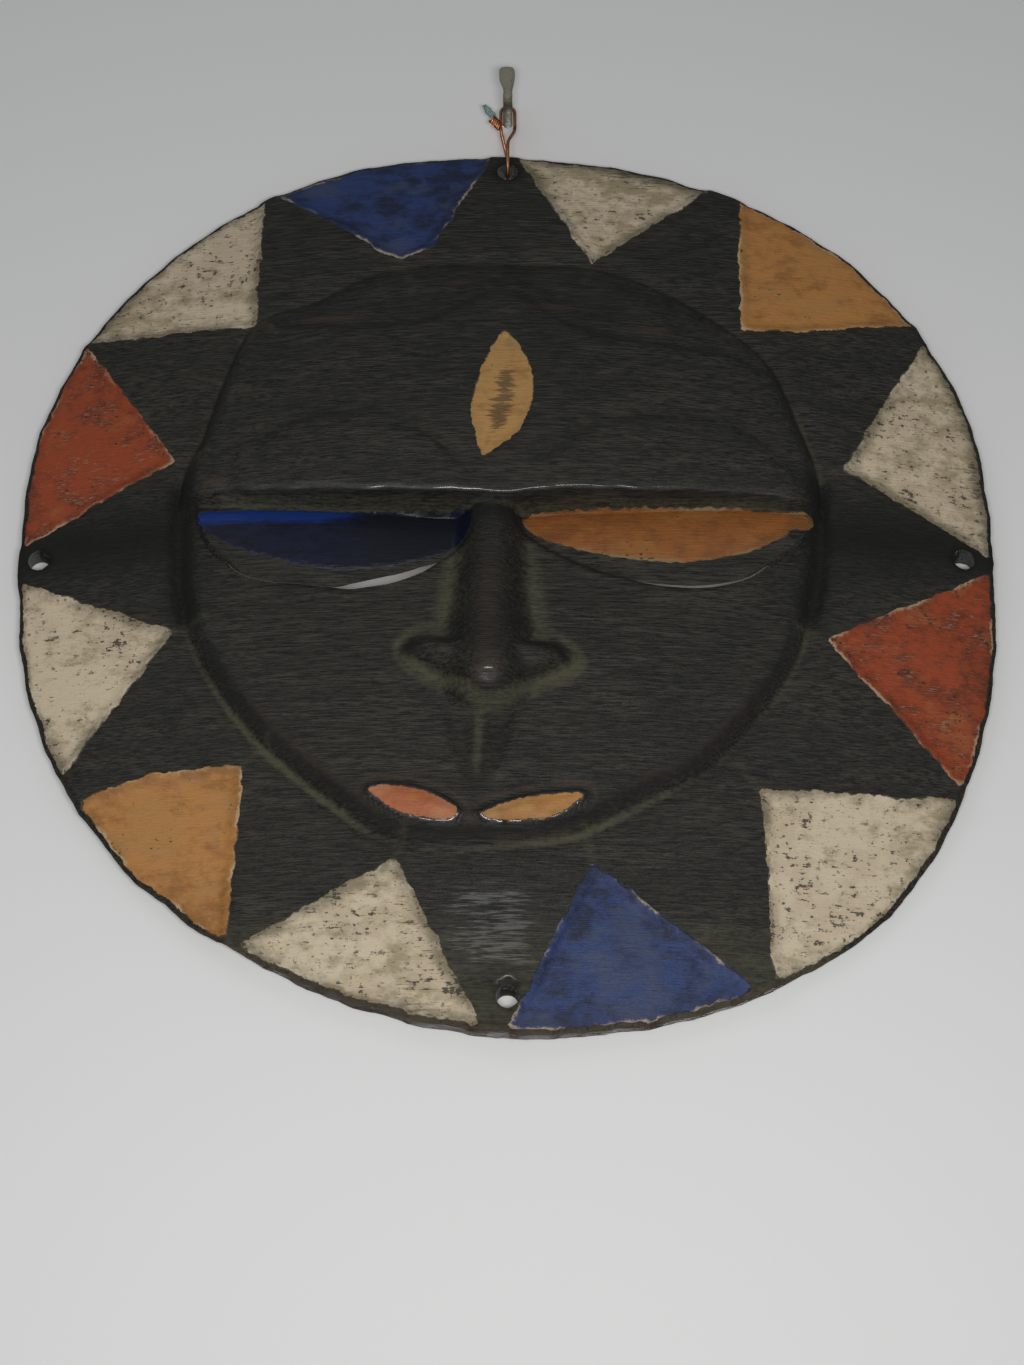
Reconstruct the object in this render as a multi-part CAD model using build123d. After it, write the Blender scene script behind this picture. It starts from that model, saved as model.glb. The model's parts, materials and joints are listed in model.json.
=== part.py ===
from build123d import *
import math
import os

# A carved, painted wooden wall mask that hangs by a wire loop on a wall hook.
# The origin is on the axis of the hook's shank where it leaves the wall.
# +X is the viewer's right, +Z is up, and the mask faces -Y, so the wall is the plane y = 0.
# The mask is modelled lying on its back, with X across the face, Y up the face and Z out of
# the wall, its back in the plane z = 0 and the middle of its rim at x = y = 0.

# Rim: an uneven hand-cut disc with a domed front. The offsets go round from +X, evenly spaced.
rim_radius = 200.0
rim_offsets = [-2.5, 3.0, 3.5, -3.0, -6.0, 0.5, 3.0, 3.5, -1.5, 2.0, 1.5, -1.5, 2.0, 8.0, 13.5, 5.0]
rim_thickness = 9.0
rim_rise = 27.0

# Tie holes: the top one leaves a bridge of wood above it, and the others are an outline
# point's number and the distance from the edge to the hole's middle
hole_radius = 4.5
bridge_height = 5.0
side_holes = [(8, 8.5), (0, 12.5), (12, 13.0)]

# Painted fields on the rim: the angles of the two outer corners, the angle of the apex, and
# how far the apex is inside the rim's radius
fields = {
    "blue_1": (119.0, 92.0, 105.0, 57.0),
    "white_1": (88.0, 64.0, 76.0, 63.0),
    "ochre_1": (60.0, 34.0, 45.0, 61.0),
    "white_2": (31.0, 1.0, 14.0, 59.0),
    "red_1": (-2.0, -29.0, -19.0, 63.0),
    "white_3": (-31.5, -60.0, -47.0, 53.0),
    "blue_2": (-62.0, -88.5, -77.0, 57.0),
    "white_4": (-94.0, -121.5, -108.0, 57.0),
    "ochre_2": (-125.0, -148.0, -137.0, 58.0),
    "white_5": (-151.0, -177.0, -163.0, 61.0),
    "red_2": (178.0, 151.0, 164.0, 59.0),
    "white_6": (148.5, 121.5, 135.0, 54.0),
}
field_overrun = 30.0
field_margin = 2.0
pocket_depth = 1.4
paint_thickness = 0.7
paint_gap = 0.2

# Face block: outline clockwise from the top of the forehead. Every rise here and in the
# sections that follow is measured from the crown, the middle of the rim's dome.
face_outline = [
    (4.0, 132.0), (40.0, 129.0), (84.0, 106.0), (107.0, 84.0), (120.0, 52.0), (127.0, 24.0),
    (126.0, -10.0), (113.0, -57.0), (97.0, -80.0), (59.0, -111.0), (30.0, -127.0), (4.0, -132.0),
    (-25.0, -133.0), (-50.0, -128.0), (-98.0, -88.0), (-120.0, -57.0), (-133.0, -10.0),
    (-133.0, 24.0), (-116.0, 79.0), (-97.0, 105.0), (-59.0, 127.0), (-31.0, 132.0),
]
brow_level = 12.0
forehead_middle = (-2.0, 34.0)
forehead_rise = 14.0
forehead_across = 560.0
forehead_along = 208.0
cheek_middle = (-4.0, -40.0)
cheek_rise = 2.0
cheek_across = 800.0
cheek_along = 420.0

# Eyes: each is a half-moon under the brow, from its inner to its outer corner
left_eye = (-15.0, -122.0)
right_eye = (6.0, 124.0)
eye_drop = 35.0
socket_drop = 11.0
socket_wall = 4.0
hollow_radius = 150.0
slit_width = 4.0
slit_trim = 14.0
lid_rise = 2.0
lid_across = 300.0
lid_along = 34.0
lid_crown = 2.0
bare_lid_band = 7.0

# Nose: ridge from under the brow down to the tip, with two flat wings
nose_top = (-6.0, 9.0)
nose_tip = (-8.0, -74.0)
nose_bed = 12.0
nose_top_width = 20.0
nose_tip_width = 30.0
nose_crest_width = 10.0
nose_top_rise = 10.0
nose_tip_rise = 21.0
wing_left = (-40.0, -56.0)
wing_right = (24.0, -60.0)
wing_top = -47.0
wing_rise = 8.0

# Mouth: two almond lips, each from its outer to its inner corner
left_lip = ((-55.0, -111.5), (-20.0, -120.5))
right_lip = ((30.0, -113.5), (-10.0, -121.5))
lip_rise = 6.0
lip_bulge = 9.0
lip_border = 2.2

# Forehead lens, from its lower to its upper point
lens_ends = ((-10.0, 28.0), (0.0, 92.0))
lens_bulge = 13.0

# Wall hook: a painted round rod with a bare end in the wall and a flattened, upturned end
hook_rod = 4.0
anchor_diameter = 3.6
anchor_length = 25.0
hook_reach = 18.0
hook_bend = 4.5
hook_top = 17.5
paddle_width = 6.9
paddle_length = 11.5
paddle_thickness = 2.2

# Hanging wire: a copper loop through the top hole and over the hook
wire_diameter = 1.4
running_gap = 0.3
rim_drop = 24.0
wire_wall_gap = 0.8
strand_straight = 9.0
wire_joint_drop = 5.8
strand_bend = 7.0

# Twisted wire ends and a scrap of insulation: points as distances out from the left strand
# and up from the shank's axis
twist_turns_across = 2.4
twist_ends = ((0.4, -7.6), (3.6, -2.6))
stub_diameter = 2.4
stub_end = (6.6, 4.2)

# Worked out from the sizes above
shield_radius = (rim_radius ** 2 + rim_rise ** 2) / (2 * rim_rise)
shield_centre = rim_thickness + rim_rise - shield_radius
crown = rim_thickness + rim_rise
tall = 2 * crown
hollow_depth = crown - socket_drop - socket_wall
outline_step = 360.0 / len(rim_offsets)
rim_top = rim_radius + rim_offsets[len(rim_offsets) // 4]
bridge_front = shield_centre + math.sqrt(shield_radius ** 2 - (rim_top - bridge_height) ** 2)
wire_radius = wire_diameter / 2
bridge_corner = math.hypot(bridge_height / 2, bridge_front / 2)
loop_radius = bridge_corner + running_gap + wire_radius
strand_spread = hook_rod / 2 + running_gap + wire_radius
wall_gap = loop_radius + wire_radius - bridge_front / 2 + wire_wall_gap
pivot_y = -wall_gap - bridge_front / 2
pivot_z = -rim_drop - bridge_height / 2
mask_place = Pos(0, -wall_gap, -rim_drop - rim_top) * Rot(90, 0, 0)


def polar(angle, radius):
    """Point on the back plane at an angle from +X."""
    return (radius * math.cos(math.radians(angle)), radius * math.sin(math.radians(angle)))


def flat(points):
    """Polygon face on the back plane."""
    return make_face(Polyline(*points, close=True))


def block(face, bottom=-1.0, top=tall):
    """Prism on a face of the back plane."""
    return Pos(0, 0, bottom) * extrude(face, amount=top - bottom)


def rim_face(inset=0.0):
    """The hand-cut outline of the rim."""
    points = [polar(i * outline_step, rim_radius + rim_offsets[i] - inset) for i in range(len(rim_offsets))]
    return make_face(Spline(*points, periodic=True))


def shield(raise_by=0.0):
    """Ball whose top is the domed front of the rim."""
    return Pos(0, 0, shield_centre) * Sphere(shield_radius + raise_by)


def barrel(middle, height, across, along):
    """Barrel lying along X, so that its top is a patch with a different curve each way."""
    x, y = middle
    axis_z = height - along
    half = math.sqrt(across ** 2 - (across - along) ** 2)
    ends = [(x - half, y, axis_z), (x + half, y, axis_z)]
    profile = make_face([ThreePointArc(ends[0], (x, y, height), ends[1]), Line(ends[1], ends[0])])
    return revolve(profile, Axis((x, y, axis_z), (1, 0, 0)), 360)


def forehead(raise_by=0.0):
    height = crown + forehead_rise + raise_by
    return barrel(forehead_middle, height, forehead_across + raise_by, forehead_along + raise_by)


def cheeks(raise_by=0.0):
    height = crown + cheek_rise + raise_by
    return barrel(cheek_middle, height, cheek_across + raise_by, cheek_along + raise_by)


def lid_barrel(eye, raise_by=0.0):
    middle = ((eye[0] + eye[1]) / 2, lid_crown)
    return barrel(middle, crown + lid_rise + raise_by, lid_across + raise_by, lid_along + raise_by)


def half_moon(eye, drop, inset=0.0):
    """Eye shape that hangs from the brow line."""
    inner = eye[0] + math.copysign(inset, eye[0])
    outer = eye[1] - math.copysign(inset, eye[1])
    low = ((inner + outer) / 2, brow_level - drop)
    return make_face([
        Line((inner, brow_level), (outer, brow_level)),
        ThreePointArc((outer, brow_level), low, (inner, brow_level)),
    ])


def almond(start, end, bulge):
    """Lens outline between two points."""
    first, last = Vector(*start), Vector(*end)
    side = (last - first).normalized().rotate(Axis.Z, 90) * bulge
    middle = (first + last) / 2
    return make_face([
        ThreePointArc(first, middle + side, last),
        ThreePointArc(last, middle - side, first),
    ])


def field_face(name):
    """Wedge of the rim from two outer corners to an inner apex."""
    start, end, apex, inward = fields[name]
    reach = rim_radius + field_overrun
    return flat([polar(start, reach), polar(end, reach), polar(apex, rim_radius - inward)])


def prismatoid(lower, upper):
    """Solid between two polygons with the same number of corners."""
    count = len(lower)
    faces = [flat_ring(lower), flat_ring(upper)]
    for i in range(count):
        j = (i + 1) % count
        faces.append(flat_ring([lower[i], lower[j], upper[j]]))
        faces.append(flat_ring([lower[i], upper[j], upper[i]]))
    return Solid(Shell(faces))


def flat_ring(corners):
    return Face(Wire.make_polygon([Vector(*corner) for corner in corners], close=True))


def nose_solid():
    """Ridge that widens and rises towards the tip, with a wing on each side."""
    top_x, top_y = nose_top
    tip_x, tip_y = nose_tip
    bed = crown - nose_bed
    lower = [
        (top_x - nose_top_width / 2, top_y, bed),
        (top_x + nose_top_width / 2, top_y, bed),
        (tip_x + nose_tip_width / 2, tip_y, bed),
        (tip_x - nose_tip_width / 2, tip_y, bed),
    ]
    upper = [
        (top_x - nose_crest_width / 2, top_y, crown + nose_top_rise),
        (top_x + nose_crest_width / 2, top_y, crown + nose_top_rise),
        (tip_x + nose_crest_width / 2, tip_y, crown + nose_tip_rise),
        (tip_x - nose_crest_width / 2, tip_y, crown + nose_tip_rise),
    ]
    wings = flat([wing_left, (top_x, wing_top), wing_right, nose_tip])
    return prismatoid(lower, upper) + block(wings, bed, crown + wing_rise)


def lip_face(lip, grow=0.0):
    start, end = Vector(*lip[0]), Vector(*lip[1])
    along = (end - start).normalized() * grow
    return almond(start - along, end + along, lip_bulge / 2 + grow)


def mask_solid():
    """The whole carving, one piece of wood."""
    face = flat(face_outline)
    above = Pos(0, brow_level + rim_radius, 0) * Box(3 * rim_radius, 2 * rim_radius, 2 * tall)
    below = Pos(0, brow_level - rim_radius, 0) * Box(3 * rim_radius, 2 * rim_radius, 2 * tall)
    body = block(rim_face(), 0) & shield()
    body += block(face, 1) & forehead() & above
    body += block(face, 1) & cheeks() & below
    for eye in (left_eye, right_eye):
        body -= block(half_moon(eye, eye_drop), crown - socket_drop)
        body += block(half_moon(eye, eye_drop - slit_width, 1), 2) & lid_barrel(eye)
    body += nose_solid()
    for lip in (left_lip, right_lip):
        body += block(lip_face(lip, lip_border), 2) & cheeks(lip_rise)
    body -= hollow()
    for eye in (left_eye, right_eye):
        body -= slit(eye)
    for name in fields:
        body -= pocket(name, 0.0)
    body -= block(almond(*lens_ends, lens_bulge)) - forehead(-pocket_depth)
    for place in hole_places():
        body -= Pos(*place, 0) * Cylinder(hole_radius, tall)
    return body


def hole_places():
    """Middles of the four tie holes, the top one first."""
    places = [(0.0, rim_top - bridge_height - hole_radius)]
    for number, edge in side_holes:
        places.append(polar(number * outline_step, rim_radius + rim_offsets[number] - edge))
    return places


def hollow():
    """Shallow bowl cut into the back."""
    radius = (hollow_radius ** 2 + hollow_depth ** 2) / (2 * hollow_depth)
    return Pos(0, 0, hollow_depth - radius) * Sphere(radius)


def slit(eye):
    """Through cut under the eyelid."""
    crescent = half_moon(eye, eye_drop) - half_moon(eye, eye_drop - slit_width, 1)
    inner, outer = sorted(eye, key=abs)
    low, high = sorted((inner + math.copysign(slit_trim, inner), outer - math.copysign(slit_trim, outer)))
    window = Pos((low + high) / 2, brow_level - eye_drop / 2, 0) * Rectangle(high - low, eye_drop + 2)
    return block(crescent & window)


def pocket(name, gap):
    """Shallow recess for one painted field, over the front of the rim."""
    wedge = field_face(name)
    if gap:
        wedge = offset(wedge, -gap, kind=Kind.INTERSECTION)
    cut = wedge & rim_face(field_margin + gap)
    return block(cut) - shield(-pocket_depth)


def field_coat(name):
    """Film of paint on the floor of one recess."""
    return pocket(name, paint_gap) & shield(-pocket_depth + paint_thickness)


def lid_coat(eye):
    """Film of paint on an eyelid, down to the bare band over the slit."""
    painted = half_moon(eye, eye_drop - slit_width - bare_lid_band, 3)
    return block(painted) & (lid_barrel(eye, paint_thickness) - lid_barrel(eye))


def lens_coat():
    painted = almond(*lens_ends, lens_bulge - paint_gap)
    return block(painted) & (forehead(-pocket_depth + paint_thickness) - forehead(-pocket_depth))


def lip_coat(lip):
    return block(lip_face(lip)) & (cheeks(lip_rise + paint_thickness) - cheeks(lip_rise))


def rod(path, diameter):
    """Round rod along a path."""
    start = Plane(path @ 0, z_dir=path % 0)
    return sweep(start * Circle(diameter / 2), path=path)


def wall_hook():
    """Rod out of the wall with an upturned, flattened end."""
    neck = hook_top - paddle_length
    path = FilletPolyline((0, 0, 0), (0, -hook_reach, 0), (0, -hook_reach, neck), radius=hook_bend)
    blade = RectangleRounded(paddle_width, paddle_length, 0.47 * paddle_width)
    paddle = Rot(90, 0, 0) * extrude(blade, amount=paddle_thickness / 2, both=True)
    anchor = rod(Line((0, -hook_rod / 4, 0), (0, anchor_length, 0)), anchor_diameter)
    return rod(path, hook_rod) + Pos(0, -hook_reach, hook_top - paddle_length / 2) * paddle + anchor


def hanging_wire():
    """Loop over the shank, down both sides and round the bridge of wood above the top hole."""
    low = pivot_z + loop_radius
    joint = -wire_joint_drop
    left, right = -strand_spread, strand_spread
    start = Line((left, pivot_y, joint), (left, pivot_y, 0))
    over = ThreePointArc((left, pivot_y, 0), (0, pivot_y, strand_spread), (right, pivot_y, 0))
    front = FilletPolyline(
        (right, pivot_y, 0), (right, pivot_y, -strand_straight),
        (0, pivot_y - loop_radius, low), (0, pivot_y - loop_radius, pivot_z), radius=strand_bend)
    under = ThreePointArc(front @ 1, (0, pivot_y, pivot_z - loop_radius), (0, pivot_y + loop_radius, pivot_z))
    back = FilletPolyline(
        under @ 1, (0, pivot_y + loop_radius, low),
        (left, pivot_y, -strand_straight), (left, pivot_y, joint - running_gap), radius=strand_bend)
    edges = [edge for line in (start, over, front, under, back) for edge in line.edges()]
    return rod(Wire(edges), wire_diameter)


def beside_strand(point):
    """Place of a point that is given from the left strand."""
    return (-strand_spread - point[0], pivot_y, point[1])


def wire_twist(wire):
    """The two ends of the wire wound together beside the loop."""
    line = Line(*[beside_strand(point) for point in twist_ends])
    return rod(line, twist_turns_across * wire_diameter) - wire


def insulation_stub(twist):
    """Scrap of insulation left on the longer end."""
    return rod(Line(beside_strand(twist_ends[1]), beside_strand(stub_end)), stub_diameter) - twist


wire = hanging_wire()
twist = wire_twist(wire)
nodes = {
    "wall_hook": wall_hook(),
    "hanging_wire": wire,
    "wire_twist": twist,
    "insulation_stub": insulation_stub(twist),
    "mask_disc": mask_place * mask_solid(),
    "eyelid_coat_left": mask_place * lid_coat(left_eye),
    "eyelid_coat_right": mask_place * lid_coat(right_eye),
    "forehead_lens_coat": mask_place * lens_coat(),
    "lip_coat_left": mask_place * lip_coat(left_lip),
    "lip_coat_right": mask_place * lip_coat(right_lip),
}
for name in fields:
    nodes["rim_field_" + name] = mask_place * field_coat(name)

os.makedirs("parts", exist_ok=True)
for name, shape in nodes.items():
    export_step(shape, f"parts/{name}.step")
    print(name, len(shape.solids()), round(shape.volume, 1))
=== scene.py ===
import json
import math
import bpy
import numpy as np
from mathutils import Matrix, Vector, geometry, kdtree, noise


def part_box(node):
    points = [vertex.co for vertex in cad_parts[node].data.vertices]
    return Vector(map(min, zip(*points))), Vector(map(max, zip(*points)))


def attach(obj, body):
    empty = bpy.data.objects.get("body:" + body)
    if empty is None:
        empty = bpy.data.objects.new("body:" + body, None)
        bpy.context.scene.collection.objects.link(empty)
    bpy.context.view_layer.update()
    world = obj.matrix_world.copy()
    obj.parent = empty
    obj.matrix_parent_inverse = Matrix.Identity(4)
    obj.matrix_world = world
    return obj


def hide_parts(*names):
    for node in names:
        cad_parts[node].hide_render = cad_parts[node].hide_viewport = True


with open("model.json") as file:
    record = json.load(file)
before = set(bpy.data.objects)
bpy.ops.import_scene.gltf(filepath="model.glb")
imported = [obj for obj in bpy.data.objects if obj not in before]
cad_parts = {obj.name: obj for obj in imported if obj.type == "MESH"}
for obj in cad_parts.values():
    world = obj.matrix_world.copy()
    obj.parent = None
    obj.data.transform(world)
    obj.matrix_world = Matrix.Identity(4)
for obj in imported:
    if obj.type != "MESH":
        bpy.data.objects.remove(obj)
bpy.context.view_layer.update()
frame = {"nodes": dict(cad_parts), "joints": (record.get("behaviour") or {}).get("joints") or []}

# The carving is worked out lying on its back, in millimetres from the middle of the rim: x to
# the viewer's right, y up the face, height out of the flat back. onWall() hangs it up.
carving = {
    "rimRadius": 200.0,
    "rimRise": 27.0,
    "rimThickness": 9.0,
    "rimOffsets": [-2.5, 3, 3.5, -3, -6, 0.5, 3, 3.5, -1.5, 2, 1.5, -1.5, 2, 8, 13.5, 5],
    "bridge": 5.0,
    "hollowRadius": 150.0,
    "hollowDepth": 21.0,
    "holeRadius": 4.5,
    "holes": [(0, 184.5), (-190, 0), (185, 0), (0, -189)],
    "fineStep": 1.25,
    "coarseStep": 2.1,
    "backStep": 5.0,
    "paring": (0.982, 0.018),  # size of the back against the front, and what the foot keeps
    "slitRise": (10.5, 6.5),  # how far the upper and lower edge of an eye slit climb to the back
}
joints = {joint["name"]: joint for joint in frame["joints"]}
tiltAxis = joints["mask_tilt"]["pos_m"]
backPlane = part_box("mask_disc")[1].y
rimTop = carving["rimRadius"] + carving["rimOffsets"][4]
middleZ = tiltAxis[2] * 1000 + carving["bridge"] / 2 - rimTop
domeRadius = (carving["rimRadius"] ** 2 + carving["rimRise"] ** 2) / (2 * carving["rimRise"])
crown = carving["rimThickness"] + carving["rimRise"]


def onWall(points, heights):
    x, y = points[:, 0] / 1000, (points[:, 1] + middleZ) / 1000
    return np.stack([x, backPlane - heights / 1000, y], axis=1)


# Lines across the carving are arrays of points.
def evenly(line, step, closed=False):
    line = np.array(line, float)
    if closed:
        line = np.vstack([line, line[:1]])
    lengths = np.concatenate([[0], np.cumsum(np.hypot(*np.diff(line, axis=0).T))])
    places = np.linspace(0, lengths[-1], max(3, int(round(lengths[-1] / step)) + 1))
    spread = np.stack([np.interp(places, lengths, line[:, i]) for i in (0, 1)], axis=1)
    return spread[:-1] if closed else spread


def smoothLine(points, step=1.2, closed=False):
    points = np.array(points, float)
    if closed:
        knots = np.vstack([points[-1], points, points[:2]])
    else:
        knots = np.vstack([2 * points[0] - points[1], points, 2 * points[-1] - points[-2]])
    t = np.linspace(0, 1, 10, endpoint=False)[:, None]
    spans = []
    for a, b, c, d in zip(knots, knots[1:], knots[2:], knots[3:]):
        bend = (2 * a - 5 * b + 4 * c - d) * t ** 2 + (3 * b - a - 3 * c + d) * t ** 3
        spans.append(0.5 * (2 * b + (c - a) * t + bend))
    if not closed:
        spans.append(points[-1:])
    return evenly(np.vstack(spans), step, closed)


def normals(line, closed=False):
    # unit vectors to the left of the way the line runs
    if closed:
        along = np.roll(line, -1, axis=0) - np.roll(line, 1, axis=0)
    else:
        along = np.gradient(line, axis=0)
    along /= np.hypot(*along.T)[:, None] + 1e-12
    return np.stack([-along[:, 1], along[:, 0]], axis=1)


def wobble(line, size, wave, seed, closed=False):
    shifts = [noise.noise(Vector((p[0] / wave, p[1] / wave, seed))) for p in line]
    return line + normals(line, closed) * (np.array(shifts) * size * 2)[:, None]


def nearLine(points, line, closed=False, reach=30.0):
    # distance from each point to the line, or reach where it is further
    best = np.full(len(points), reach)
    starts = line if closed else line[:-1]
    ends = np.roll(line, -1, axis=0) if closed else line[1:]
    low, high = line.min(axis=0) - reach, line.max(axis=0) + reach
    close = np.flatnonzero(((points > low) & (points < high)).all(axis=1))
    if not len(close):
        return best
    along = ends - starts
    square = (along ** 2).sum(axis=1) + 1e-12
    for part in np.array_split(close, len(close) * len(starts) // 2000000 + 1):
        offset = points[part][:, None] - starts
        t = np.clip((offset * along).sum(axis=2) / square, 0, 1)
        gap = offset - along * t[..., None]
        best[part] = np.minimum(reach, np.sqrt((gap ** 2).sum(axis=2).min(axis=1)))
    return best


def within(points, loop):
    low, high = loop.min(axis=0), loop.max(axis=0)
    inside = np.zeros(len(points), bool)
    close = np.flatnonzero(((points >= low) & (points <= high)).all(axis=1))
    x, y = points[close].T
    odd = np.zeros(len(close), bool)
    for (x1, y1), (x2, y2) in zip(loop, np.roll(loop, -1, axis=0)):
        if y1 == y2:
            continue
        crossing = ((y1 > y) != (y2 > y)) & (x < (x2 - x1) * (y - y1) / (y2 - y1) + x1)
        odd ^= crossing
    inside[close] = odd
    return inside


def inward(points, loop, reach=30.0):
    # distance to a closed loop, positive inside
    return nearLine(points, loop, True, reach) * np.where(within(points, loop), 1, -1)


def ease(t):
    t = np.clip(t, 0, 1)
    return t * t * (3 - 2 * t)


def swell(distance, width):
    return np.exp(-(distance / width) ** 2)


def aroundMiddle(radii, angles):
    return np.reshape(radii, (-1, 1)) * np.stack([np.cos(angles), np.sin(angles)], axis=1)


def rimOutline(step):
    offsets = np.array(carving["rimOffsets"] + carving["rimOffsets"][:1], float)
    angles = np.radians(np.linspace(0, 360, len(offsets)))
    corners = aroundMiddle(carving["rimRadius"] + offsets, angles)
    return smoothLine(corners[:-1], step, True)


def rimReach(points):
    # how far inside the rim's edge each point is, along its own radius
    angles = np.arctan2(points[:, 1], points[:, 0])
    return np.interp(angles, rimAngles, rimRadii, period=math.tau) - np.hypot(*points.T)


plainOutline = rimOutline(2.2)
outline = wobble(plainOutline, 0.55, 14.0, 3.1, True)
outline = wobble(outline, 0.2, 4.0, 8.7, True)
nearTop = np.hypot(outline[:, 0], outline[:, 1] - rimTop)[:, None]
outline = np.where(nearTop < 12, plainOutline, outline)
rimAngles = np.arctan2(outline[:, 1], outline[:, 0])
rimRadii = np.hypot(*outline.T)

# Painted fields: paint and corners, from one corner on the rim over the apex to the other
fields = {
    "blue_1": ("blue", [(-99, 176), (-65, 151), (-53, 141), (-45, 136), (-32, 141), (-7, 193)]),
    "white_1": ("white", [(5, 192), (35, 133), (88, 179)]),
    "ochre_1": ("ochre", [(98, 174), (97, 101), (121, 103), (169, 112)]),
    "white_2": ("white", [(174, 103), (137, 36), (197, 1)]),
    "red_1": ("red", [(198, -5), (128, -42), (179, -98)]),
    "white_3": ("white", [(174, -105), (100, -107), (104, -179)]),
    "blue_2": ("blue", [(97, -185), (33, -138), (2, -198)]),
    "white_4": ("white", [(-12, -198), (-44, -136), (-103, -167)]),
    "ochre_2": ("ochre", [(-110, -163), (-104, -96), (-141, -98), (-173, -107)]),
    "white_5": ("white", [(-178, -97), (-134, -38), (-198, -10)]),
    "red_2": ("red", [(-198, 6), (-136, 40), (-174, 99)]),
    "white_6": ("white", [(-172, 103), (-105, 104), (-103, 173)]),
}
pocket = {"depth": 2.0, "bevel": 3.8, "paintInset": 0.7, "rimInset": 1.5, "wobble": 0.45, "overrun": 9.0}


def fieldSides(corners, seed):
    corners = np.array(corners, float)
    for end, other in ((0, 1), (-1, -2)):
        out = corners[end] - corners[other]
        corners[end] += out / np.hypot(*out) * pocket["overrun"]
    sides = wobble(evenly(corners, 1.2), pocket["wobble"], 9.0, seed)
    return wobble(sides, 0.3, 2.6, seed + 5)


def paintLoop(sides, seed):
    # the sides drawn in a little, then back along the rim
    seen = sides[rimReach(sides) > pocket["rimInset"]]
    first, last = (math.atan2(p[1], p[0]) for p in (seen[0], seen[-1]))
    turn = (first - last) % math.tau
    angles = last + np.linspace(0, turn, int(turn * 165))[1:-1]
    radii = np.interp(angles, rimAngles, rimRadii, period=math.tau) - pocket["rimInset"]
    arc = aroundMiddle(radii, angles)
    drawn = seen - normals(seen) * pocket["paintInset"]
    loop = evenly(np.vstack([drawn, arc]), 1.1, True)
    loop = wobble(loop, 0.35, 5.0, seed, True)
    return wobble(loop, 0.22, 1.7, seed + 3, True)


face = {
    "outline": [
        (-104, 105), (-116, 79), (-125, 48), (-133, 26), (-133, -4), (-130, -30), (-120, -57), (-98, -88),
        (-70, -113), (-48, -128), (-25, -132), (4, -131), (30, -126), (59, -111), (78, -100), (97, -80),
        (113, -57), (121, -33), (126, -9), (127, 26), (120, 52), (107, 84), (84, 106), (55, 124), (32, 131),
        (4, 132), (-31, 132), (-59, 126), (-80, 115)],
    "hairline": [(-95, 98), (-64, 95), (-35, 96), (-25, 101), (-4, 114), (10, 107), (19, 98), (33, 91),
                 (62, 85), (87, 82), (106, 74)],
    "browArcs": [
        [(-114, 37), (-95, 44), (-76, 51), (-49, 49), (-26, 34), (-15, 21)],
        [(13, 27), (32, 43), (46, 48), (80, 50), (99, 43), (114, 29), (122, 20)]],
    "browLip": [(-126, 19), (-110, 17), (-83, 15), (-43, 13), (-15, 12), (-3, 11), (21, 13), (61, 14),
                (93, 15), (118, 14), (126, 13)],
    "flank": 7.0,
    "softFlank": 15.0,
    "groove": 1.2,
    "temple": 4.0,
    "forehead": (50, -2, 34, 1120, 416),  # top, middle x and y, flatness across and up
    "cheeks": (38, -4, -40, 1600, 840),
}
eyes = {
    "left": {
        "slit": [(-125, 8), (-120, -3), (-113, -11), (-106, -17), (-95, -20.5), (-83, -22), (-67, -24),
                 (-55, -22.5), (-43, -20), (-33, -16), (-24, -11), (-14, -3)],
        "open": ([-113, -82, -70, -62, -48, -34, -24], [0.15, 0.2, 0.9, 3.8, 5.2, 4.2, 0.3]),
        "paint": [(-125, 11.5), (-122, 3), (-112, -4), (-103, -8), (-83, -14), (-66, -16), (-43, -14),
                  (-23, -7), (-15.5, -2), (-15, 9.5), (-30, 10.3), (-60, 11), (-95, 12.3), (-112, 12.8)],
        "middle": -69.0, "cove": 3.6,
    },
    "right": {
        "slit": [(3, 3), (10, -3), (19, -9), (34, -16), (48, -20.5), (62, -23), (79, -23), (95, -19),
                 (104, -13), (115, -5), (124, 5)],
        "open": ([21, 40, 50, 62, 78, 92, 105], [0.25, 0.35, 1.2, 1.8, 1.4, 0.4, 0.25]),
        "paint": [(6, 8), (9, 2), (20, -4), (42, -10), (66, -13), (84, -11), (97, -8), (108, -2), (112, 0),
                  (114, 3), (121, 4), (123, 11.5), (110, 12.4), (85, 13), (55, 12.3), (30, 11.8), (14, 11)],
        "middle": 64.0, "cove": 2.8,
    },
}
lid = {"top": 34.8, "across": 1250, "level": -6, "above": 105, "below": 190}
nose = {
    "ridgeY": [-80, -77, -73, -68, -60, 3, 12],
    "ridgeHeight": [36, 42, 49, 53, 53.5, 46.5, 43],
    "ridgeX": ([-74, 3], [-8, -6.5]),
    "halfWidth": ([-79, -70, -60, -40, -11, 5], [14, 20, 22, 18.5, 16, 15]),
    "nostrils": [(-31, -54.5), (14.5, -57)],
    "wings": [(-41, -53), (-36, -47), (-20, -43), (-8, -42), (7, -44), (18, -49), (26, -57), (24, -61.5),
              (9, -69), (-7, -77), (-21, -69), (-37, -59)],
    "philtrum": [(-27, -76), (-11, -79.5), (6, -75), (2, -92), (-6, -108), (-12, -118), (-19, -108),
                 (-24, -92)],
}
mouth = {
    "left": [(-54.5, -111), (-46, -109.5), (-34, -111.5), (-24, -116), (-19.5, -120), (-22, -123.5),
             (-32, -123), (-42, -120.5), (-50, -115.5)],
    "right": [(-10.5, -121.5), (-2, -117.5), (8, -114.7), (18, -113.2), (30, -113), (24, -119), (16, -123),
              (6, -124), (-4, -124.2)],
    "rise": 2.6,
}
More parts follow.
